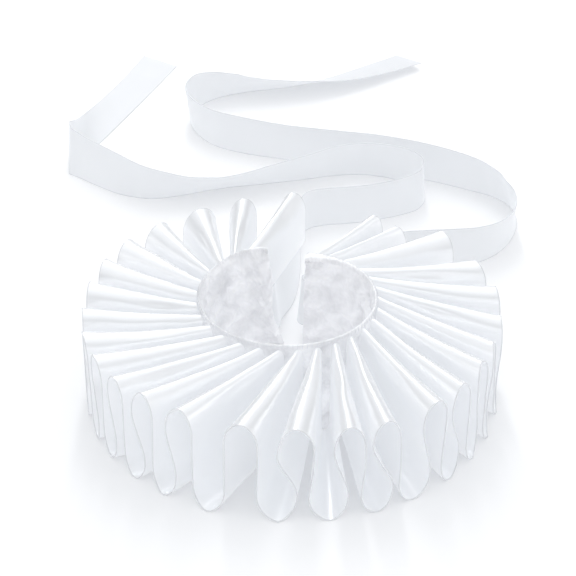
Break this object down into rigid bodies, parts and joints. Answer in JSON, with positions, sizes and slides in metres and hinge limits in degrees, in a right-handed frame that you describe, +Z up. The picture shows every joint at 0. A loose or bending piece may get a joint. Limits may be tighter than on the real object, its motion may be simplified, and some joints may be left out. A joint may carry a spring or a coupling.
{
  "type": "ruff collar",
  "caption": "Pleated white satin ruff collar with a tall neckband and two ribbon ties, lying on a table with the ties trailing behind it.",
  "frame": {"origin": "centre of the base of the whole part's box, on the table", "axes": "+Z up from the table, -Y towards the front of the collar, +Y to the back opening and the ties, +X to the right in the picture"},
  "size_m": [0.4103, 0.7376, 0.0804],
  "materials": {
    "ruff_satin": "bright white satin",
    "neckband_satin": "crushed white satin",
    "left_tie_satin": "white satin ribbon",
    "right_tie_satin": "white satin ribbon"
  },
  "bodies": {
    "root": {"ruff_strip": "ruff_satin", "neckband": "neckband_satin", "ribbon_tie_left": "left_tie_satin", "ribbon_tie_right": "right_tie_satin"}
  },
  "joints": []
}
